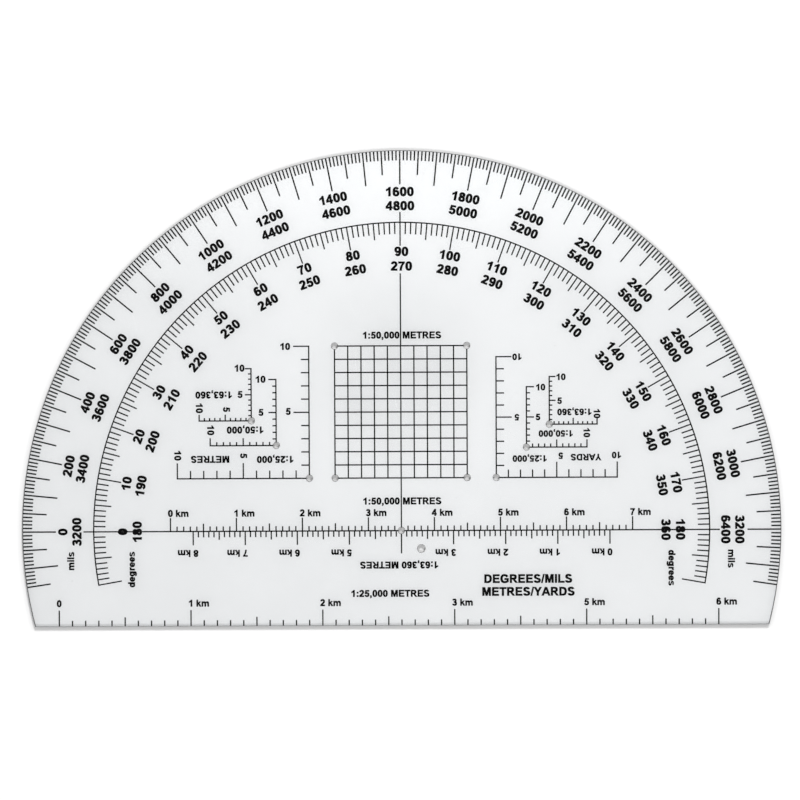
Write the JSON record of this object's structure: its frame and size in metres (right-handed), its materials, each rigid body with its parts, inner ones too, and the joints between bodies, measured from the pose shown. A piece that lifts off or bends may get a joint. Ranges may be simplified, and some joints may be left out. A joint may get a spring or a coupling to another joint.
{
  "type": "map protractor",
  "caption": "Flat clear plastic map protractor, a circle cut off by a straight edge, with printed mil and degree scales, map square, romers, distance scales and pencil holes.",
  "frame": {"origin": "middle of the underside's bounding box; the protractor's centre hole is 43.05 mm from it towards -Y", "axes": "+X along the straight edge, to the right when the print reads upright; +Y away from the straight edge, towards the top of the arc; +Z out of the printed face"},
  "size_m": [0.23, 0.144, 0.0015],
  "materials": {
    "clear_plastic": "clear rigid plastic sheet, polished faces, faintly grey, slightly cloudy, sawn edge",
    "black_ink": "thin black screen-printed ink"
  },
  "bodies": {
    "root": {"clear_sheet": "clear_plastic", "mil_scale_print": "black_ink", "degree_scale_print": "black_ink", "base_scale_left_print": "black_ink", "base_scale_right_print": "black_ink", "edge_scale_print": "black_ink", "map_square_print": "black_ink", "north_line_upper_print": "black_ink", "north_line_lower_print": "black_ink", "north_line_tail_print": "black_ink", "metre_romer_25000_level_print": "black_ink", "metre_romer_25000_upright_print": "black_ink", "metre_romer_50000_level_print": "black_ink", "metre_romer_50000_upright_print": "black_ink", "metre_romer_63360_level_print": "black_ink", "metre_romer_63360_upright_print": "black_ink", "yard_romer_25000_level_print": "black_ink", "yard_romer_25000_upright_print": "black_ink", "yard_romer_50000_level_print": "black_ink", "yard_romer_50000_upright_print": "black_ink", "yard_romer_63360_level_print": "black_ink", "yard_romer_63360_upright_print": "black_ink"}
  },
  "joints": []
}
